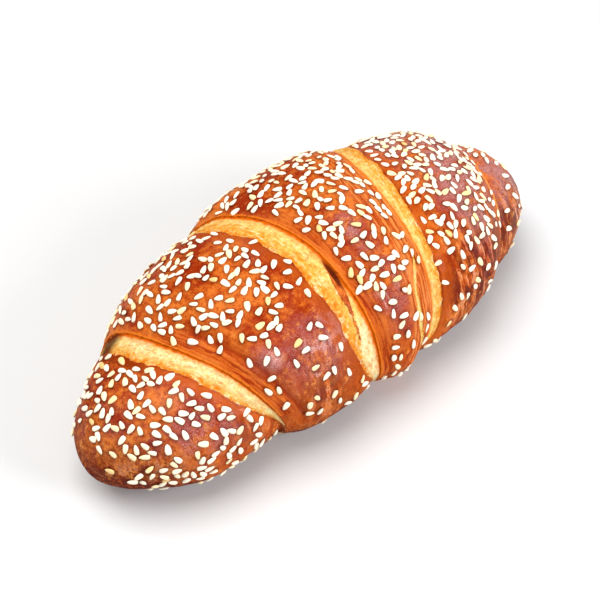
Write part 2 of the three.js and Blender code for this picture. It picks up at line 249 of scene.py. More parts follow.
# %% Points of the surface
def surface(x, angle, relief):
    """Points in mm at stations and angles, with some relief in mm added to the radius."""
    x, angle, relief = np.broadcast_arrays(x, angle, relief)
    near = x < 0
    along = np.clip(x / np.where(near, NEAR_LENGTH, FAR_LENGTH), -1, 1)
    bluntness = np.where(near, NEAR_BLUNTNESS, FAR_BLUNTNESS)
    taper = np.sqrt(np.clip(1 - np.abs(along) ** bluntness, 0, 1))
    turn = np.radians(angle)
    up, side = np.cos(turn), np.sin(turn)
    square = (np.abs(up) ** SQUARENESS + np.abs(side) ** SQUARENESS) ** (-1 / SQUARENESS)
    wraps = 1.5 * WRAP_THICKNESS + SWELL
    point_height = np.where(near, NEAR_POINT_HEIGHT, FAR_POINT_HEIGHT)
    axis_height = AXIS_HEIGHT + (point_height - AXIS_HEIGHT) * along ** 2
    upper = (HEIGHT - AXIS_HEIGHT - wraps) * taper ** UPPER_TAPER
    lower = (AXIS_HEIGHT + SETTLE) * taper ** LOWER_TAPER
    relief = relief * smooth(taper, 0, WRAPS_FADE)
    y = (WIDTH / 2 - wraps) * taper * square * side + relief * side
    y = y + np.where(near, NEAR_BEND, FAR_BEND) * along ** 2 + CENTRE_Y
    z = axis_height + np.where(up > 0, upper, lower) * square * up + relief * up
    soft = (z + SOFT_EDGE) ** 2 / (4 * SOFT_EDGE)
    z = np.where(np.abs(z) < SOFT_EDGE, soft, np.maximum(z, 0))
    return np.stack([x + CENTRE_X, y, z], -1)


print("far point of the roll, mm:", surface(FAR_LENGTH, 0.0, 0.0).round(1))

# %% [markdown]
# A mesh can only show a crisp lip if its rows run along the lip, so the grid's rows follow the four
# edges and both sides of each band, with more rows where the detail is. Round the roll there are
# more columns on the sides and the top than on the flat underside, which nobody sees.

# %% The grid
ROW_STEPS = [54, 14, 84, 20, 58, 18, 70, 4, 36]
ROW_GAP = 0.1
SEEN_COLUMNS, UNDER_COLUMNS, UNDER_ANGLE = 196, 36, 132


def grid_angles():
    seen = np.linspace(-UNDER_ANGLE, UNDER_ANGLE, SEEN_COLUMNS, endpoint=False)
    under = np.linspace(UNDER_ANGLE, 360 - UNDER_ANGLE, UNDER_COLUMNS, endpoint=False)
    angles = np.concatenate([seen, under])
    return np.where(angles >= 180, angles - 360, angles)[None, :]


def grid_stations(angle):
    """Stations of the rows in every column: along the edges on top, even along the underside."""
    near_outer, near_inner, far_inner, far_outer = edges(angle)
    slope = slopes(angle)
    end = np.ones_like(angle)
    stops = [
        (-NEAR_LENGTH * end, near_outer - slope[0] - ROW_GAP),
        (near_outer - slope[0], near_outer - ROW_GAP),
        (near_outer, near_inner - slope[1] - ROW_GAP),
        (near_inner - slope[1], near_inner - ROW_GAP),
        (near_inner, far_inner),
        (far_inner + ROW_GAP, far_inner + slope[2]),
        (far_inner + slope[2] + ROW_GAP, far_outer),
        (far_outer + ROW_GAP, far_outer + slope[3]),
        (far_outer + slope[3] + ROW_GAP, FAR_LENGTH * end),
    ]
    rows = []
    for part, (start, stop) in enumerate(stops):
        t = np.linspace(0, 1, ROW_STEPS[part] + 1)
        t = t - 0.11 * np.sin(2 * math.pi * t)
        if part == 0:
            t = np.sin(math.pi / 2 * np.linspace(0, 1, ROW_STEPS[part] + 1))
        if part == len(stops) - 1:
            t = 1 - np.cos(math.pi / 2 * np.linspace(0, 1, ROW_STEPS[part] + 1))
        rows.append(start + (stop - start) * t[:, None])
    rows = np.concatenate(rows)
    follow = 1 - smooth(np.abs(angle), 120, 160)
    t = np.sin(math.pi * (np.linspace(0, 1, len(rows)) - 0.5))[:, None]
    even = t * np.where(t < 0, NEAR_LENGTH, FAR_LENGTH)
    return even + (rows - even) * follow


angle = grid_angles()
x = grid_stations(angle)
print("rows and columns:", x.shape)

# %% [markdown]
# The finishes and the fine relief both depend on where a point lies: how far inside the crumb, how
# far behind a lip, how far from the torn rim. These distances are worked out once, in mm, and later
# kept on the mesh as attributes, so that the shader's colours and the shapes always agree.

# %% Distances that the finishes use
FAR_AWAY = 99
inside = insides(x, angle)
opening = openings(angle)
slope = slopes(angle)
arc = angle * MM_PER_DEGREE + 0 * x

crumb = np.max([np.minimum(-inside[k], slope[k] - SHARP_EDGE + inside[k]) for k in range(3)], axis=0)
thin_tear = np.minimum(0.4 - inside[3], 0.4 + slope[3] + inside[3])
thin_tear = np.where(opening[3] > 0.15, thin_tear, -1) - 2 * smooth(angle, 60, 90)
in_band = [(inside[k] < 0) & (inside[k] > -slope[k]) for k in range(3)]
across = np.sum([np.where(in_band[k], -inside[k] / slope[k], 0) for k in range(3)], axis=0)
open_now = [np.clip(opening[k] / 2, 0, 1) for k in range(4)]
behind_lip = np.min([
    np.where(inside[k] >= 0, inside[k], FAR_AWAY) + FAR_AWAY * (1 - open_now[k]) for k in range(4)
], axis=0)
behind_rim = np.min([
    np.where(inside[k] < -slope[k], -slope[k] - inside[k], FAR_AWAY)
    + FAR_AWAY * (1 - open_now[k]) for k in range(4)
], axis=0)
print("crumb covers", round(float((crumb > 0).mean()), 3), "of the grid")

# %% [markdown]
# Two places need their own forms. In the second band a strip of crust was left between two tears:
# it starts as a dark open slot under the lip and runs out as a thin brown fold. On the middle wrap's
# far side the stretched skin has split along one pale line. Both follow simple rules.

# %% The fold, the slot and the split
FOLD_START, FOLD_END = -24, -70
FOLD_RISE, SLOT_DEPTH, CRACK_DEPTH, SPLIT_DEPTH = 0.55, 2.0, 0.6, 0.35
fold_centre = -1.0 - 0.105 * (-angle + FOLD_START)
fold_half = 1.5 * smooth(-angle, -FOLD_START - 4, -FOLD_START + 10)
fold_half = fold_half * (1 - 0.75 * smooth(-angle, 38, 52)) * (1 - smooth(-angle, 60, -FOLD_END))
fold = fold_half - np.abs(inside[1] - fold_centre)
fold = np.where(inside[1] < 0, fold, -9)

slot_centre = -0.9 - 0.05 * (-angle - 24)
slot = hill(angle, -31, 8) * hill(inside[1], slot_centre, 0.9) * (inside[1] < 0)

split_centre = 2.6 + 4.0 * smooth(-angle, 40, 60) - 2.5 * smooth(-angle, 72, 100)
split_half = 0.8 * smooth(-angle, 36, 50) * (1 - smooth(-angle, 92, 112))
split = split_half - np.abs(inside[2] - split_centre)

crack = hill(angle, -17 + 0.8 * (inside[1] + 3), 0.9) * smooth(-inside[1], 0.5, 1.5)
crack = crack * (1 - smooth(-inside[1], 4.5, 6))
crumb = np.minimum(crumb, -fold)
crumb = np.maximum(crumb, split)
print("fold's widest half, mm:", round(float(fold_half.max()), 2))

# %% [markdown]
# Fine relief is what makes bread look baked, and each kind of skin has its own. Slow lumps lie
# everywhere and orange peel on the crust. Streaks run along the lips where the skin was drawn out,
# and the torn crumb has fibres and pits. All heights are in mm, added to the radius.

# %% Lumps, streaks and crumb
base = surface(x, angle, wrap_height(x, angle))
px, py, pz = base[..., 0], base[..., 1], base[..., 2]


def skin_noise(size, start=0):
    """Noise over the surface with hills of some size; start picks another part of the noise."""
    return grain(px / size, py / size, pz / size + start)


lumps = 0.42 * skin_noise(13) + 0.3 * skin_noise(5.5, 9)
peel = 0.09 * skin_noise(1.9, 20)

DRAWN_LENGTHS = [6.5, 4.4, 6.0, 3.0]
drawn = np.max([
    open_now[k] * (inside[k] >= 0) * hill(inside[k], 0, DRAWN_LENGTHS[k]) for k in range(4)
], axis=0) * smooth(-angle, -35, 25)
peach = (1 - smooth(inside[2], 8, 11)) * smooth(inside[2], -0.2, 0.2) * smooth(-angle, -40, 10)
drawn = np.maximum(drawn, peach * 0.9)
bent = behind_lip + 0.9 * skin_noise(9, 60)
streaks = grain(bent / 1.1, arc / 16, 4.0) + 0.8 * grain(bent / 2.4, arc / 24, 7.0)
streaks = 0.26 * drawn * streaks

in_crumb = smooth(crumb, -0.1, 0.35)
fibres = 0.3 * grain(arc / 4.5, across * 5, 2.0) + 0.16 * skin_noise(0.9)
pits = -0.5 * smooth(skin_noise(1.3, 31), 0.28, 0.6)
print("streaks up to", round(float(streaks.max()), 2), "mm")

# %% [markdown]
# Low on the front the crust shrank into wrinkles, and near both ends into ridges. Creases run behind
# the first two lips and below the large blister, which also gets a small steep top.

# %% Wrinkles and creases
CREASE_DEPTH, BULGE_RISE = 0.55, 0.5
low_front = hill(angle, -80, 22) * (hill(x, 28, 10) + hill(x, -27, 9) + 0.7 * hill(x, -48, 8))
wrinkles = 1.5 * low_front * np.abs(grain(px / 3.2, py / 3.2, pz / 4 + 50))
ridges = hill(angle, -72, 26) * smooth(x, 22, 38) + 0.6 * hill(angle, -75, 22) * smooth(-x, 66, 76)
wrinkles = wrinkles + 0.9 * ridges * np.abs(grain(px / 2.6, py / 2.6 + pz / 11, 3.0))

crease = smooth(angle, -108, -85) * (1 - smooth(angle, -18, 12)) * hill(inside[0], 5.8, 1.0)
from_blister = np.hypot(x - BLISTER_X, (angle - BLISTER_ANGLE) * MM_PER_DEGREE)
crease = np.maximum(crease, 0.6 * hill(from_blister, 5.2, 0.9) * smooth(-angle, 42, 52))
crease = np.maximum(crease, 0.6 * smooth(angle, -90, -70) * (1 - smooth(angle, -20, 20))
                    * hill(inside[1], 8.0, 1.3))
bulge = hill(x, BLISTER_X, 2.6) * hill(angle, BLISTER_ANGLE, 4.5)
print("wrinkles up to", round(float(wrinkles.max()), 2), "mm")

# %% [markdown]
# The wash that gives the gloss isn't even, and where it lies the shader also paints a sheen for the
# light it reflects. Each glaze spot has a station, an angle, a length in mm, a width in degrees and a
# share. The foot, near the tray, is painted shade, partly the browner crust underneath.

# %% Glaze and painted sheen, foot shade and the sum of the relief
GLAZE_AND_SHEEN_SPOTS = [
    (-25, -60, 11, 18, 1.1), (-62, -66, 14, 24, 1.2), (-83, 5, 6, 50, 0.45), (-41, -47, 3, 7, 1.2),
    (-66, -30, 12, 34, 0.15), (2, -52, 7, 20, 0.9), (4, -18, 3, 8, 1.1), (14, -12, 5, 12, 0.6),
    (45, -36, 8, 24, 1.3), (52, 0, 8, 26, 0.8), (67, -42, 9, 34, 1.2), (-20, 12, 6, 14, 0.5),
    (-50, 60, 12, 20, 0.6), (44, 26, 14, 24, 0.8), (66, 20, 10, 30, 0.7),
]
# Besides the real coat further down, the glaze also masks the painted sheen and highlights.
glaze_and_sheen = sum(share * hill(x, at, long) * hill(angle, turn, wide)
            for at, turn, long, wide, share in GLAZE_AND_SHEEN_SPOTS)
glaze_and_sheen = np.clip(glaze_and_sheen, 0, 1) * smooth(skin_noise(4.5, 70), -0.75, 0.25)
peel = peel * (1 + 1.8 * glaze_and_sheen)
# The foot is painted shade near the tray, partly the browner crust underneath.
foot = (1 - smooth(pz, 5, 18)) + (1 - smooth(pz, 12, 36)) * smooth(-px, 60, 80)
foot = foot + 0.85 * (1 - smooth(pz, 12, 35)) * smooth(px, 20, 40)
foot = np.clip(foot + 0.55 * (1 - smooth(pz, 10, 30)) * hill(px, -20, 20), 0, 1)

relief = lumps + (1 - in_crumb) * (peel + streaks + wrinkles) + in_crumb * (fibres + pits)
relief = relief - CREASE_DEPTH * crease + BULGE_RISE * bulge
relief = relief + FOLD_RISE * smooth(fold, -0.5, 0.4) - SLOT_DEPTH * slot - CRACK_DEPTH * crack
relief = relief - SPLIT_DEPTH * smooth(split, -0.4, 0.3)
print("relief from", round(float(relief.min()), 2), "to", round(float(relief.max()), 2), "mm")

# %% [markdown]
# Blisters are placed by a small generator of even draws, started from a fixed number, so that every
# run gives the same croissant. A blister is a low round hill. Each group has a count, its first and
# last station, and its two angles, and the blisters gather towards the first of these.

# %% Small blisters
def drawer(start):
    """A function that gives even draws between 0 and 1, the same on every run."""
    state = [start]

    def draw():
        state[0] = state[0] * 16807 % 2147483647
        return state[0] / 2147483647

    return draw


BLISTER_RISE, BLISTER_DRAW = 0.34, 4711
BLISTERS = [(240, -80, 78, -112, 78), (60, -88, -70, -85, 25), (45, -42, -18, -110, -40)]
draw = drawer(BLISTER_DRAW)
blisters = np.zeros_like(px)
for count, first_x, last_x, lowest, highest in BLISTERS:
    for _ in range(count):
        spot_x = first_x + (last_x - first_x) * draw()
        spot_angle = lowest + (highest - lowest) * draw() ** 1.7
        radius = 0.5 + 0.9 * draw() ** 2
        spot = surface(spot_x, spot_angle, wrap_height(spot_x, np.array([spot_angle])))[0]
        distance = np.sqrt(((base - spot) ** 2).sum(-1))
        strength = 0.5 + 0.5 * draw()
        blisters = np.maximum(blisters, strength * np.exp(-((distance / radius) ** 4)))
blisters = blisters * (1 - in_crumb)
relief = relief + BLISTER_RISE * blisters
print("blisters:", sum(group[0] for group in BLISTERS))

# %% [markdown]
# A lip hangs over its band a little. Moving the points just behind the lip along the roll gives a
# true overhang, which the radius alone can't. The move fades out towards the near point.

# %% Overhanging lips
OVERHANG, OVERHANG_REACH, POINT_FADE = 0.2, 1.1, 6
shift = np.zeros_like(x)
for k, way in enumerate([-1, -1, 1, 1]):
    lip = np.exp(-(np.maximum(inside[k], 0) / OVERHANG_REACH)) * (inside[k] >= 0)
    shift = shift + way * OVERHANG * open_now[k] * lip

points = surface(x, angle, wrap_height(x, angle) + relief)
points[..., 0] += shift * smooth(NEAR_LENGTH - np.abs(x), 0, POINT_FADE)
print("points:", points.shape[0] * points.shape[1])

# %% [markdown]
# Hulled sesame seeds are flat cream drops about 3 mm long. First comes how thickly they lie: each
# of the five lobes has a row of covers, one for each angle. The crumb stays clear of them.

# %% Cover of the seeds
SEED_LENGTH, SEED_WIDTH, SEED_THICKNESS = 2.95, 1.62, 0.85
FUSED_COUNT, FUSED_SPACING, SEED_DRAW = 150, 6.6, 20711
SEED_COUNT, SEED_SPACING = 1250, 2.12
COVER_ANGLES = [-125, -90, -65, -40, -15, 15, 45, 75, 110, 135]
LOBE_COVER = [
    [0.00, 0.42, 0.30, 0.55, 0.66, 0.62, 0.47, 0.40, 0.25, 0.0],
    [0.00, 0.08, 0.05, 0.10, 0.46, 0.48, 0.44, 0.48, 0.34, 0.0],
    [0.00, 0.08, 0.08, 0.42, 0.57, 0.47, 0.42, 0.50, 0.36, 0.0],
    [0.00, 0.04, 0.06, 0.48, 1.00, 1.00, 1.00, 0.90, 0.45, 0.0],
    [0.00, 0.03, 0.03, 0.03, 0.04, 0.06, 0.22, 0.38, 0.34, 0.0],
]
LARGEST_AREA, LOWEST_SEED, END_GAP = 0.75, 4, 3
FIRST_ANGLE, ANGLE_SPAN = -130, 265


def seed_cover(x, angle):
    """Chance of a large seed, one of those in the solid: most on top and towards the far end."""
    slope = slopes(angle)
    inside = insides(x, angle)
    clear = 1.0
    for k in range(4):
        clear = min(clear, max(smooth(inside[k], 1, 6), smooth(-inside[k] - slope[k], 0.5, 2)))
    topside = 0.12 + 0.88 * smooth(angle, -95, 30) * (1 - smooth(angle, 80, 135))
    farther = 0.65 + 0.35 * smooth(x, 15, 50)
    on_blister = hill(x, BLISTER_X, BLISTER_LENGTH) * hill(angle, BLISTER_ANGLE, BLISTER_DEGREES)
    off_blister = max(1 - 2 * on_blister, 0)
    return clear * topside * farther * off_blister * smooth(angle, -130, -110)


def scatter_cover(x, angle):
    """Chance of a loose seed, by its lobe and angle, with fewer near the near point."""
    slope, inside = slopes(angle), insides(x, angle)
    clear = 1.0
    for k in range(4):
        behind = smooth(inside[k], 0.5, 4.5) if k != 3 else smooth(inside[k], -1, 1)
        clear = min(clear, max(behind, smooth(-inside[k] - slope[k], 0.3, 1.6)))
    lobe = int(inside[0] > 0) + int(inside[1] > 0) + int(inside[2] < 0) + int(inside[3] < 0)
    off_point = 0.35 + 0.65 * smooth(x, -86, -72)
    return clear * off_point * np.interp(angle, COVER_ANGLES, LOBE_COVER[lobe])


def clump(x, angle):
    """Seeds fall in clumps: a slow noise that gathers them."""
    value = noise.noise((x / 5.5, angle * MM_PER_DEGREE / 5.5, 5.0))
    return float(smooth(value, -0.45, 0.45))


print("cover on top of the middle wrap:", LOBE_COVER[2][COVER_ANGLES.index(15)])

# %% [markdown]
# A place is drawn at random and kept by the chance of its cover, unless another seed is too near.
# The first ones fall where the solid has its fused seeds, as the same numbers are drawn. Each place
# is then raised to the fine relief.

# %% Where the seeds lie
def surface_frame(x, angle):
    """Centre, direction along the roll, outward direction and area per step, at one place."""
    step = 0.5
    xs = np.array([x, x + step, x - step, x, x])
    angles = np.array([angle, angle, angle, angle + step, angle - step])
    centre, ahead, behind, above, below = surface(xs, angles, wrap_height(xs, angles))
    along = ahead - behind
    normal = np.cross(along, above - below)
    area = np.linalg.norm(normal) / (4 * step * step)
    return centre, along / np.linalg.norm(along), normal / np.linalg.norm(normal), area


def seed_places():
    """Centre, two directions and turn of every seed, the fused ones first."""
    draw = drawer(SEED_DRAW)
    places = []
    centres = np.zeros((SEED_COUNT, 3))
    for count, spacing, clumped in ((FUSED_COUNT, FUSED_SPACING, 0), (SEED_COUNT, SEED_SPACING, 1)):
        while len(places) < count:
            x = -NEAR_LENGTH + END_GAP + (NEAR_LENGTH + FAR_LENGTH - 2 * END_GAP) * draw()
            angle = FIRST_ANGLE + ANGLE_SPAN * draw()
            chance, turn = draw(), 2 * math.pi * draw()
            if clumped:
                likely = scatter_cover(x, angle) * (0.35 + 0.65 * clump(x, angle))
            else:
                likely = seed_cover(x, angle)
            if chance >= likely:
                continue
            centre, along, normal, area = surface_frame(x, angle)
            if chance >= likely * min(area / LARGEST_AREA, 1) or centre[2] < LOWEST_SEED:
                continue
            filled = len(places)
            nearest = math.sqrt(((centres[:filled] - centre) ** 2).sum(-1).min()) if filled else FAR_AWAY
            if nearest >= spacing:
                centres[filled] = centre
                raised = 0.35 * (1 - smooth(nearest, 1.8, 2.6)) * clumped
                places.append((centre + normal * raised, along, normal, turn))
    return places


places = seed_places()
crust_tree = KDTree(base[..., 0].size)
for row, point in enumerate(base.reshape(-1, 3)):
    crust_tree.insert(point, row)
crust_tree.balance()
flat_relief = relief.ravel()
places = [
    (centre + normal * flat_relief[crust_tree.find(centre)[1]], along, normal, turn)
    for centre, along, normal, turn in places
]
print("seeds:", len(places))

# %% [markdown]
# Around each seed the crust is darker: painted shadow where the seed shades the crust, partly crust
# browned by the oil that gathers there. A tree of the seeds' centres finds the three nearest to every
# point of the crust.

# %% Painted shadow rings round the seeds
HALO_REACH, STRAIGHT_HALF = 0.7, 0.75
tree = KDTree(len(places))
for number, (centre, *_) in enumerate(places):
    tree.insert(centre, number)
tree.balance()
flat_points = base.reshape(-1, 3)
seed_shadow_and_oil_ring = np.zeros(len(flat_points))
for row, point in enumerate(flat_points):
    for _, number, distance in tree.find_n(point, 3):
        if distance > SEED_LENGTH:
            continue
        centre, along_way, normal, turn = places[number]
        forward = along_way * math.cos(turn) + np.cross(normal, along_way) * math.sin(turn)
        offset = point - centre
        lengthwise = abs(float(offset @ forward))
        crosswise = math.sqrt(max(float(offset @ offset) - lengthwise ** 2, 0))
        outside = math.hypot(max(lengthwise - STRAIGHT_HALF, 0), crosswise) - SEED_WIDTH / 2
        seed_shadow_and_oil_ring[row] = max(seed_shadow_and_oil_ring[row], 1 - smooth(outside, 0, HALO_REACH))
seed_shadow_and_oil_ring = seed_shadow_and_oil_ring.reshape(x.shape)
print("share of the crust in the rings:", round(float((seed_shadow_and_oil_ring > 0.3).mean()), 3))

# %% [markdown]
# Now the grid becomes a mesh. The first and last rows have shrunk to one point each, so the ends
# are closed by fans of triangles. Values that belong to the points go in as float attributes, which
# any shader can read.

# %% A mesh from the grid
def add(name, data):
    """A new object of some data in the scene."""
    made = bpy.data.objects.new(name, data)
    bpy.context.scene.collection.objects.link(made)
    return made


def grid_mesh(name, points, attributes):
    """A closed mesh from rows of points round an axis; the first and last rows are single points."""
    rows, columns, _ = points.shape
    ring = np.arange((rows - 2) * columns).reshape(rows - 2, columns)
    turned = np.roll(ring, -1, axis=1)
    quads = np.stack([ring[:-1], turned[:-1], turned[1:], ring[1:]], -1).reshape(-1, 4)
    first, last = ring.size, ring.size + 1
    start = np.full(columns, first)
    end = np.full(columns, last)
    fans = np.concatenate([
        np.stack([start, turned[0], ring[0]], -1),
        np.stack([end, ring[-1], turned[-1]], -1),
    ])
    flat = np.concatenate([points[1:-1].reshape(-1, 3), points[:1, 0], points[-1:, 0]])
    mesh = bpy.data.meshes.new(name)
    mesh.from_pydata((flat * MM).tolist(), [], quads.tolist() + fans.tolist())
    mesh.shade_smooth()
    for key, values in attributes.items():
        values = np.broadcast_to(values, (rows, columns))
        kept = np.concatenate([values[1:-1].ravel(), values[0, :1], values[-1, :1]])
        made = mesh.attributes.new(key, "FLOAT", "POINT")
        made.data.foreach_set("value", kept.astype(np.float32))
    return add(name, mesh)


print("rows of points:", len(points))

# %% [markdown]
# Paleness says where the crumb opened last and stayed cream, fringe where the ragged rim baked dark,
# and the band's end takes painted shade where the first band narrows past the top under its lip's
# overhang. The body takes the solid's place and slot.

# %% The body
FRINGE_LENGTH = 8
paleness = np.sum([
    in_band[0] * (0.75 - 0.25 * smooth(angle, 10, 45)),
    in_band[1] * (0.2 + 0.9 * smooth(-angle, 42, 70) * (inside[1] > fold_centre)),
    in_band[2] * (0.12 + 0.3 * smooth(-angle, 50, 80)),
], axis=0)
paleness = np.where(split > -0.3, 0.5, paleness)
fringe = np.sum([
    share * (inside[k] < -slope[k]) * (inside[k] > -slope[k] - FRINGE_LENGTH)
    for k, share in enumerate([smooth(angle, -22, 8), 0.45, 0.3])
], axis=0)
# Painted shade on the end of the first band, under its lip's overhang.
band_end_shade = in_band[0] * smooth(angle, 32, 46) * (1 - 0.85 * smooth(angle, 56, 78))

body = grid_mesh("croissant_body", points, {
    "crumb": crumb,
    "across": np.where(split > -0.6, 0.85 - 0.5 * smooth(split, 0.15, 0.6), across),
    "paleness": paleness,
    "behind_lip": behind_lip,
    "behind_rim": behind_rim,
    "arc": arc,
    "drawn": drawn,
    "slot": np.maximum(slot, crack * 0.36),
    "glaze_and_sheen": glaze_and_sheen,
    "seed_shadow_and_oil_ring": seed_shadow_and_oil_ring,
    "bulge": bulge,
    "crease": crease,
    "foot": foot,
    "ridges": np.clip(ridges + 0.75 * low_front, 0, 1),
    "station": x,
    "peach": peach,
    "fringe": fringe,
    "band_end_shade": band_end_shade,
    "blister": blisters,
    "thin_tear": thin_tear,
    "around": angle + 0 * x,
})
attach(body, "root")
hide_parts("croissant")
print("faces of the body:", len(body.data.polygons))

# %% [markdown]
# Shader maths is easier to read as sums and products than as a net of nodes. This small class wraps
# one output socket. Adding or multiplying two wraps adds the Math node for it, and `node` adds any
# other node: its settings are set first, then its inputs are given values or linked.

# %% A way to write shader maths
class Wire:
    """One output of a material's nodes, with Python's operators."""

    def __init__(self, tree, socket=None):
        self.tree = tree
        self.socket = socket

    def node(self, kind, settings=(), inputs=(), output=0):
        made = self.tree.nodes.new(kind)
        for name, value in dict(settings).items():
            setattr(made, name, value)
        for name, value in dict(inputs).items():
            if isinstance(value, Wire):
                self.tree.links.new(value.socket, made.inputs[name])
            else:
                made.inputs[name].default_value = value
        return Wire(self.tree, made.outputs[output] if made.outputs else None)

    def _math(self, operation, *values):
        return self.node("ShaderNodeMath", {"operation": operation}, enumerate(values))

    def __add__(self, other):
        return self._math("ADD", self, other)

    def __sub__(self, other):
        return self._math("SUBTRACT", self, other)

    def __rsub__(self, other):
        return self._math("SUBTRACT", other, self)

    def __mul__(self, other):
        return self._math("MULTIPLY", self, other)

    __radd__, __rmul__ = __add__, __mul__

    def above(self, low, high):
        """A soft step from 0 at low to 1 at high."""
        inputs = {"Value": self, "From Min": low, "From Max": high}
        return self.node("ShaderNodeMapRange", {"interpolation_type": "SMOOTHSTEP"}, inputs)

    def value(self, name):
        """A float attribute of the mesh."""
        return self.node("ShaderNodeAttribute", {"attribute_name": name}, output="Fac")

    def place(self):
        """The point on the object, in mm."""
        place = self.node("ShaderNodeTexCoord", output="Object")
        return self.node("ShaderNodeVectorMath", {"operation": "SCALE"}, {0: place, "Scale": 1 / MM})

    def noise(self, place, scale, detail=2.0, roughness=0.5):
        """Noise around 0.5 at a place; scale is in hills per millimetre."""
        inputs = {"Vector": place, "Scale": scale, "Detail": detail, "Roughness": roughness}
        return self.node("ShaderNodeTexNoise", inputs=inputs)

    def vector(self, x, y, z):
        return self.node("ShaderNodeCombineXYZ", inputs={"X": x, "Y": y, "Z": z})

    def mix(self, first, second, share):
        """A colour between two colours."""
        settings = {"data_type": "RGBA", "clamp_factor": True}
        return self.node("ShaderNodeMix", settings, {0: share, 6: first, 7: second}, output=2)


print("a wire knows:", ", ".join(name for name in vars(Wire) if name[0] != "_"))

# %% [markdown]
# Three helpers go with it: for colours as seen on a screen, for a new empty material, and for its
# end in a single Principled shader.

# %% Helpers for materials
def paint(red, green, blue):
    """A colour given as on a screen, 0 to 255, as the linear colour that shaders use."""
    parts = [c / 255 for c in (red, green, blue)]
    linear = [c / 12.92 if c <= 0.04045 else ((c + 0.055) / 1.055) ** 2.4 for c in parts]
    return (*linear, 1.0)


def new_material(name):
    material = bpy.data.materials.new(name)
    material.use_nodes = True
    material.node_tree.nodes.clear()
    return material, Wire(material.node_tree)


def finish_material(wire, inputs):
    """Ends a material in one Principled shader."""
    shader = wire.node("ShaderNodeBsdfPrincipled", inputs=inputs)
    wire.node("ShaderNodeOutputMaterial", inputs={"Surface": shader})


print("linear red of a mid grey:", round(paint(128, 128, 128)[0], 3))

# %% [markdown]
# The crust was brushed before baking, so it turns a deep red brown with a soft gloss. It is orange
# where the skin was drawn thin, dark in patches and along the torn rims, and a painted mauve sheen
# stands for the light it reflects where it shines. The crumb is cream and gold, and toasted towards
# the ragged rim.

# %% Colours of the crust and the crumb
BROWN = paint(206, 100, 30)
DEEP_BROWN = paint(148, 32, 2)
LIGHT_BROWN = paint(222, 120, 46)
AMBER = paint(244, 154, 72)
# Mauve and pale mauve are painted sheen, for the light the glaze reflects.
PAINTED_SHEEN_MAUVE = paint(172, 88, 84)
PAINTED_PALE_SHEEN = paint(198, 134, 124)
# A pale pink for painted highlights.
PAINTED_GLINT = paint(236, 186, 184)
DARK_RED = paint(88, 16, 2)
DRAWN_ORANGE = paint(206, 92, 24)
# Also painted as shade in the creases.
DRAWN_AND_CREASE_SHADE_RED = paint(144, 34, 2)
PEACH = paint(240, 156, 88)
LOW_ORANGE = paint(228, 104, 6)
LIP_ORANGE = paint(240, 126, 34)
RIM_BROWN = paint(132, 38, 2)
RIM_ORANGE = paint(212, 98, 26)
CREAM = paint(255, 228, 136)
PALE_CREAM = paint(255, 246, 194)
GOLD = paint(244, 174, 68)
TOASTED = paint(236, 120, 18)
PIT_BROWN = paint(222, 124, 28)
# Dark red painted as shade in the slot, the crack and the first band's end.
GAP_SHADE_RED = paint(88, 22, 10)
print("brown as the shader sees it:", [round(c, 3) for c in BROWN[:3]])

# %% [markdown]
# The base is brown, patched darker and lighter by four noises, from slow patches to fine speckles.
# Each line lays one more colour over what is there, by a share from 0 to 1.

# %% Brown patches
crust, wire = new_material("crust")
place = wire.place()
behind = wire.value("behind_lip")
rim = wire.value("behind_rim")
along = wire.value("arc")
glaze_and_sheen_share = wire.value("glaze_and_sheen")

patches = wire.noise(place, 0.08, 3.0, 0.6)
mottle = wire.noise(place, 0.42, 6.0, 0.75)
dimple = wire.noise(place, 0.85, 5.0, 0.7)
speckle = wire.noise(place, 1.9, 4.0, 0.75)

tone = patches * 0.6 + mottle * 0.4
colour = wire.mix(BROWN, DEEP_BROWN, tone.above(0.46, 0.57) * 0.9)
colour = wire.mix(colour, LIGHT_BROWN, (1 - tone).above(0.5, 0.58) * 0.8)
# The dimple and speckle noises also raise the bump, so these lines put painted shade in its hollows and
# a lighter colour on its raised bits, where the skin baked thin.
colour = wire.mix(colour, AMBER, dimple.above(0.57, 0.63) * 0.35)
colour = wire.mix(colour, DEEP_BROWN, (1 - dimple).above(0.54, 0.6) * 0.6)
colour = wire.mix(colour, LIGHT_BROWN, speckle.above(0.56, 0.64) * 0.25)
colour = wire.mix(colour, DEEP_BROWN, (1 - speckle).above(0.56, 0.64) * 0.3)
print("nodes so far:", len(crust.node_tree.nodes))

# %% [markdown]
# Where the glaze lies, a painted mauve sheen stands for the light it reflects, paler towards the far
# end, with painted highlights: fine glinting lines and grit in which the light catches.

# %% Painted sheen and highlights of the glaze
# Painted sheen: mauve for the reflected light, paler and greyer towards the far end.
sheen = glaze_and_sheen_share * (mottle * 0.5 + patches * 0.5).above(0.42, 0.52)
colour = wire.mix(colour, PAINTED_SHEEN_MAUVE, sheen * 0.85)
far_share = wire.value("station").above(26, 44)
colour = wire.mix(colour, PAINTED_PALE_SHEEN, sheen * far_share * 0.7)
hills = wire.noise(place, 1.1, 1.5, 0.6)
colour = wire.mix(colour, DEEP_BROWN, glaze_and_sheen_share * (1 - hills).above(0.53, 0.6) * 0.55)
# Painted highlights: thin glinting lines and grit where the light catches the glaze.
glint_line = 1 - wire.node("ShaderNodeMath", {"operation": "ABSOLUTE"}, {0: hills - 0.5}).above(0, 0.025)
grit = wire.noise(place, 2.4, 3.0, 0.7)
painted_glints = glint_line * speckle.above(0.44, 0.54) * 0.5 + grit.above(0.56, 0.62) * 0.55
colour = wire.mix(colour, PAINTED_GLINT, glaze_and_sheen_share * painted_glints)
# A painted highlight on the top of the large blister.
colour = wire.mix(colour, PAINTED_GLINT, wire.value("bulge") * grit.above(0.38, 0.54) * 0.8)
print("nodes so far:", len(crust.node_tree.nodes))

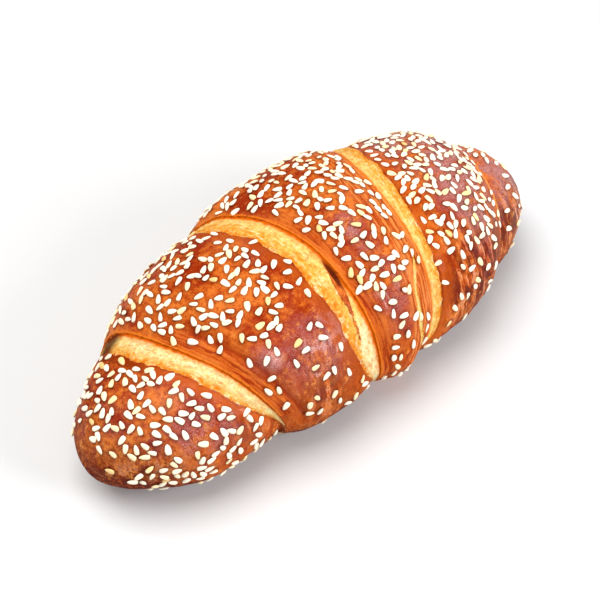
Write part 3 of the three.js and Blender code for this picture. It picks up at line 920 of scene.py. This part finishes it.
# %% [markdown]
# Low on the front the crust is more orange. The foot near the tray gets painted shade, partly the
# browner underside, and the ridges get painted shade in their hollows and painted light on their
# backs, with painted glints. Small blisters catch a little amber too.

# %% Low front, foot and ridges
low = (0 - wire.value("around")).above(45, 95) * mottle.above(0.42, 0.58)
colour = wire.mix(colour, LOW_ORANGE, low * 0.6)
# Painted shade near the tray, partly the browner underside.
colour = wire.mix(colour, DARK_RED, wire.value("foot") * (1 - dimple.above(0.5, 0.58) * 0.6) * 0.95)
ridge_place = wire.vector(wire.value("station") * 0.5, along * 0.07, mottle * 0.8)
ridge = wire.noise(ridge_place, 1.0, 3.0, 0.6)
ridge_share = wire.value("ridges")
# Painted shade in the ridges' hollows and painted light on their backs; the glints are painted
# highlights.
colour = wire.mix(colour, DARK_RED, ridge_share * (1 - ridge).above(0.46, 0.54) * 0.8)
colour = wire.mix(colour, AMBER, ridge_share * ridge.above(0.54, 0.62) * 0.6)
glints = ridge_share * ridge.above(0.56, 0.6) * speckle.above(0.5, 0.56)
colour = wire.mix(colour, PAINTED_GLINT, glints * 0.45)
colour = wire.mix(colour, AMBER, wire.value("blister") * dimple.above(0.45, 0.56) * 0.8)
print("nodes so far:", len(crust.node_tree.nodes))

# %% [markdown]
# Behind a lip the skin was drawn out into orange and dark red streaks, and its very edge is bright with
# a line of painted light where the lip turns down into shade. The ragged rim across the band is
# toasted dark. The creases are darkened as painted shade, and the rings round the seeds are painted
# shadow, partly crust browned by oil.

# %% Streaks, creases and rims
streak_place = wire.vector((behind + mottle * 1.4) * 1.05, along * 0.045, 3.0)
streak = wire.noise(streak_place, 1.0, 4.0, 0.65)
drawn_share = wire.value("drawn")
colour = wire.mix(colour, DRAWN_ORANGE, drawn_share * 0.85)
peach_share = wire.value("peach")
colour = wire.mix(colour, PEACH, peach_share * (1 - streak).above(0.46, 0.56) * 0.85)
colour = wire.mix(colour, LIGHT_BROWN, drawn_share * (1 - streak).above(0.52, 0.59) * 0.85)
dark_streak = drawn_share * streak.above(0.5, 0.58) * (0.9 - peach_share * 0.4)
colour = wire.mix(colour, DRAWN_AND_CREASE_SHADE_RED, dark_streak)
# Painted shade in the creases.
colour = wire.mix(colour, DRAWN_AND_CREASE_SHADE_RED, wire.value("crease") * 0.75)
# A ring of painted shadow round each seed, partly crust browned by oil.
colour = wire.mix(colour, DARK_RED, wire.value("seed_shadow_and_oil_ring") * 0.5)

rag = wire.noise(place, 0.9, 3.0, 0.65)
near_rim = 1 - rim.above(0.8, 5.5)
colour = wire.mix(colour, RIM_ORANGE, near_rim * 0.6)
fringe = (1 - (rim + rag * 5.0).above(4.0, 6.2)) * wire.value("fringe")
colour = wire.mix(colour, RIM_BROWN, fringe * 0.85)
rim_line = 1 - (rim + rag * 1.2).above(0.5, 1.3)
colour = wire.mix(colour, RIM_BROWN, rim_line * 0.35)
# A bright line of painted light on the lip's very edge, where it turns down into shade.
lip_line = 1 - (behind + (rag - 0.5) * 0.8).above(0.2, 0.75)
colour = wire.mix(colour, LIP_ORANGE, lip_line * 0.8)
print("nodes so far:", len(crust.node_tree.nodes))

# %% [markdown]
# The crumb's colour is made in the same way and laid over the crust by one share. It goes from cream
# to gold to toasted across the band, with long fibres, soft sponge and brown pits.

# %% Crumb
crumb_edge = wire.value("crumb") + (rag - 0.5) * 1.1
crumb_share = crumb_edge.above(-0.06, 0.1)
span = wire.value("across") + (mottle - 0.5) * 0.6
pale = wire.value("paleness")
crumb_tone = wire.mix(CREAM, PALE_CREAM, (pale + (mottle - 0.5)).above(0.4, 1.0))
crumb_tone = wire.mix(crumb_tone, GOLD, (span - pale * 0.35).above(0.12, 0.62))
crumb_tone = wire.mix(crumb_tone, TOASTED, span.above(0.68, 1.0) * 0.9)
fibre_place = wire.vector(wire.value("across") * 6.0, along * 0.24, 11.0)
fibre = wire.noise(fibre_place, 1.0, 4.0, 0.7)
sponge = wire.noise(place, 0.75, 4.0, 0.8)
crumb_tone = wire.mix(crumb_tone, TOASTED, fibre.above(0.52, 0.62) * 0.7)
crumb_tone = wire.mix(crumb_tone, PALE_CREAM, (1 - fibre).above(0.52, 0.64) * 0.75)
crumb_tone = wire.mix(crumb_tone, TOASTED, dimple.above(0.53, 0.6) * (0.55 - pale * 0.4))
crumb_tone = wire.mix(crumb_tone, CREAM, (1 - dimple).above(0.53, 0.6) * 0.5)
crumb_tone = wire.mix(crumb_tone, GOLD, sponge.above(0.5, 0.6) * 0.5)
crumb_tone = wire.mix(crumb_tone, PIT_BROWN, speckle.above(0.55, 0.64) * (0.6 - pale * 0.4))
# Next to the lip the crumb lies in shade: amber, then orange right under the lip, is painted there as
# warm shade.
shaded = 1 - (wire.value("across") + (rag - 0.5) * 0.3).above(0.08, 0.38)
crumb_tone = wire.mix(crumb_tone, AMBER, shaded * 0.6)
under_lip = 1 - (wire.value("across") + (rag - 0.5) * 0.16).above(0.06, 0.18)
crumb_tone = wire.mix(crumb_tone, LOW_ORANGE, under_lip)
# Painted shade on the end of the first band, under its lip's overhang.
crumb_tone = wire.mix(crumb_tone, GAP_SHADE_RED, wire.value("band_end_shade") * 0.9)
colour = wire.mix(colour, crumb_tone, crumb_share)
tear_share = (wire.value("thin_tear") + (rag - 0.5) * 0.8).above(-0.1, 0.35)
colour = wire.mix(colour, AMBER, tear_share * 0.9)
# The slot and the crack are painted dark red as the shade in them.
colour = wire.mix(colour, GAP_SHADE_RED, wire.value("slot").above(0.15, 0.6) * 0.9)
print("nodes so far:", len(crust.node_tree.nodes))

# %% [markdown]
# Last come the bumps, the roughness and the gloss: a thin coat, strongest where the glaze lies and
# none on the crumb, which is also rougher.

# %% Bumps and gloss
crust_share = 1 - crumb_share
peel_bump = dimple * 0.9 + speckle * (0.4 + 0.5 * glaze_and_sheen_share) + grit * glaze_and_sheen_share * 0.4
crumb_bump = sponge * 0.9 + speckle * 0.4 + fibre * 1.2
bump_height = peel_bump * crust_share + crumb_bump * crumb_share * 1.3
bump_height = bump_height + streak * drawn_share * crust_share * 0.5
bump = wire.node("ShaderNodeBump", inputs={"Strength": 0.75, "Distance": 0.9 * MM,
                                           "Height": bump_height})
roughness = 0.4 + mottle * 0.16 + crumb_share * 0.35
finish_material(wire, {
    "Base Color": colour,
    "Roughness": roughness,
    "Specular IOR Level": 0.02,
    "Coat Weight": crust_share * (0.02 + 0.34 * glaze_and_sheen_share + 0.12 * ridge_share),
    "Coat Roughness": 0.14,
    "Normal": bump,
})
body.data.materials.append(crust)
print("nodes of the crust:", len(crust.node_tree.nodes))

# %% [markdown]
# The drop's outline is an ellipse made narrower towards one end. Sizes vary by a tenth, each seed
# tips a little out of the surface, and a few lie on their neighbours.

# %% Seed mesh
RINGS, SIDES, SIZE_DRAW = 8, 10, 977


def drop():
    """Points and faces of one seed, 2 long before it is scaled."""
    points = [(0, -1, 0)]
    for ring in range(1, RINGS):
        turn = math.pi * ring / RINGS
        length = -math.cos(turn)
        girth = math.sin(turn) ** (0.82 + 0.3 * length) * (1 - 0.24 * length)
        for side in range(SIDES):
            around = 2 * math.pi * side / SIDES
            points.append((girth * math.cos(around), length, girth * math.sin(around)))
    points.append((0, 1, 0))
    faces = []
    for ring in range(RINGS - 2):
        for side in range(SIDES):
            a = 1 + ring * SIDES + side
            b = 1 + ring * SIDES + (side + 1) % SIDES
            faces.append((a, a + SIDES, b + SIDES, b))
    last = len(points) - 1
    for side in range(SIDES):
        after = (side + 1) % SIDES
        faces.append((0, 1 + side, 1 + after))
        faces.append((last, last - SIDES + after, last - SIDES + side))
    return np.array(points), faces


shape, shape_faces = drop()
draw = drawer(SIZE_DRAW)
seed_points, seed_faces, seed_tones = [], [], []
for number, (centre, along, normal, turn) in enumerate(places):
    size = 1.06 if number < FUSED_COUNT else 0.86 + 0.2 * draw()
    across_way = np.cross(normal, along)
    forward = along * math.cos(turn) + across_way * math.sin(turn)
    tip = (draw() - 0.5) * 0.5
    roll = (draw() - 0.5) * 0.5
    up = normal + forward * tip + np.cross(forward, normal) * roll
    up = up / np.linalg.norm(up)
    sideways = np.cross(forward, up)
    sideways = sideways / np.linalg.norm(sideways)
    forward = np.cross(up, sideways)
    half = np.array([SEED_WIDTH * (0.92 + 0.16 * draw()), SEED_LENGTH, SEED_THICKNESS]) / 2 * size
    local = shape * half
    laid = local[:, :1] * sideways + local[:, 1:2] * forward + local[:, 2:] * up
    lift = 0.22 * SEED_THICKNESS
    start = len(seed_points) * len(shape)
    seed_points.append(centre + normal * lift + laid)
    seed_faces += [tuple(start + i for i in face) for face in shape_faces]
    seed_tones += [draw()] * len(shape)

seed_mesh = bpy.data.meshes.new("sesame_seeds")
seed_mesh.from_pydata((np.concatenate(seed_points) * MM).tolist(), [], seed_faces)
seed_mesh.shade_smooth()
tones = seed_mesh.attributes.new("tone", "FLOAT", "POINT")
tones.data.foreach_set("value", np.array(seed_tones, np.float32))
seeds = add("sesame_seeds", seed_mesh)
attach(seeds, "root")
print("faces of the seeds:", len(seed_mesh.polygons))

# %% [markdown]
# Baked seeds are nearly white with a warm tint, and here and there one is yellower where oil got to
# it. A fine grain and a satin gloss keep them from looking like plastic.

# %% Seed material
SEED_WHITE = paint(255, 246, 222)
SEED_CREAM = paint(254, 228, 164)
SEED_TAN = paint(240, 182, 94)

seed_finish, wire = new_material("seed")
place = wire.place()
tone = wire.value("tone")
fine = wire.noise(place, 1.2, 2.0, 0.5)
seed_colour = wire.mix(SEED_WHITE, SEED_CREAM, (tone + (fine - 0.5) * 0.8).above(0.5, 1.1))
seed_colour = wire.mix(seed_colour, SEED_TAN, tone.above(0.95, 1.0) * 0.7)
seed_bump = wire.node("ShaderNodeBump", inputs={"Strength": 0.2, "Distance": 0.1 * MM,
                                                "Height": fine})
finish_material(wire, {
    "Base Color": seed_colour,
    "Roughness": 0.4 + fine * 0.15,
    "Normal": seed_bump,
})
seed_mesh.materials.append(seed_finish)

# %% [markdown]
# The croissant is shown on a plain pale floor in soft studio light: one wide soft box high above it,
# a little to the left and behind, one cooler fill from the front right, and an even surround.

# %% Floor and light
def new_floor():
    mesh = bpy.data.meshes.new("floor")
    reach = 3.0
    corners = [(-reach, -reach, 0), (reach, -reach, 0), (reach, reach, 0), (-reach, reach, 0)]
    mesh.from_pydata(corners, [], [(0, 1, 2, 3)])
    floor = add("floor", mesh)
    material, wire = new_material("floor")
    finish_material(wire, {"Base Color": (0.72, 0.72, 0.72, 1), "Roughness": 0.9})
    mesh.materials.append(material)


def soft_box(name, place, aim, size, power, colour=(1, 1, 1)):
    """A square light of some size in metres, looking at a place."""
    light = bpy.data.lights.new(name, "AREA")
    light.size = size
    light.energy = power
    light.color = colour
    lamp = add(name, light)
    lamp.location = place
    lamp.rotation_euler = (Vector(aim) - Vector(place)).to_track_quat("-Z", "Y").to_euler()


new_floor()
world = bpy.data.worlds.new("surround")
world.use_nodes = True
world.node_tree.nodes["Background"].inputs["Color"].default_value = (1.0, 0.98, 0.95, 1)
world.node_tree.nodes["Background"].inputs["Strength"].default_value = 0.4
bpy.context.scene.world = world
soft_box("overhead", (-0.15, 0.1, 0.75), (0, 0, 0.03), 0.6, 6.15)
soft_box("front_fill", (0.3, -0.65, 0.42), (0, 0, 0.03), 0.35, 4.8, (0.94, 0.96, 1))
bpy.context.scene.view_settings.view_transform = "Standard"

# %% [markdown]
# The camera looks down on the near end from the front left. Its place was worked out by fitting the
# roll's outline and bands, so each part of the croissant lands where it does in the photograph.

# %% Camera
CAMERA_ELEVATION, CAMERA_TURN = 48.0, 41.24
CAMERA_DISTANCE = 404.45
FOCAL_PIXELS, FRAME_PIXELS, SENSOR = 1326.07, 600, 36.0
AIM_RIGHT, AIM_UP, AIM_HEIGHT = -3.909, -5.634, 25.0


def new_camera():
    rise, turn = math.radians(CAMERA_ELEVATION), math.radians(CAMERA_TURN)
    flat = math.cos(rise)
    back = Vector((-math.sin(turn) * flat, -math.cos(turn) * flat, math.sin(rise)))
    right = Vector((math.cos(turn), -math.sin(turn), 0))
    up = back.cross(right)
    aim = Vector((CENTRE_X, CENTRE_Y, AIM_HEIGHT)) + right * AIM_RIGHT + up * AIM_UP
    lens = bpy.data.cameras.new("camera")
    lens.sensor_width = SENSOR
    lens.lens = FOCAL_PIXELS / FRAME_PIXELS * SENSOR
    lens.clip_start = 0.01
    camera = add("camera", lens)
    facing = Matrix((right, up, back)).transposed().to_4x4()
    camera.matrix_world = Matrix.Translation((aim + back * CAMERA_DISTANCE) * MM) @ facing
    bpy.context.scene.camera = camera
    return camera


print("camera stands at", tuple(round(c, 3) for c in new_camera().location))

# %% Update the scene
bpy.context.view_layer.update()
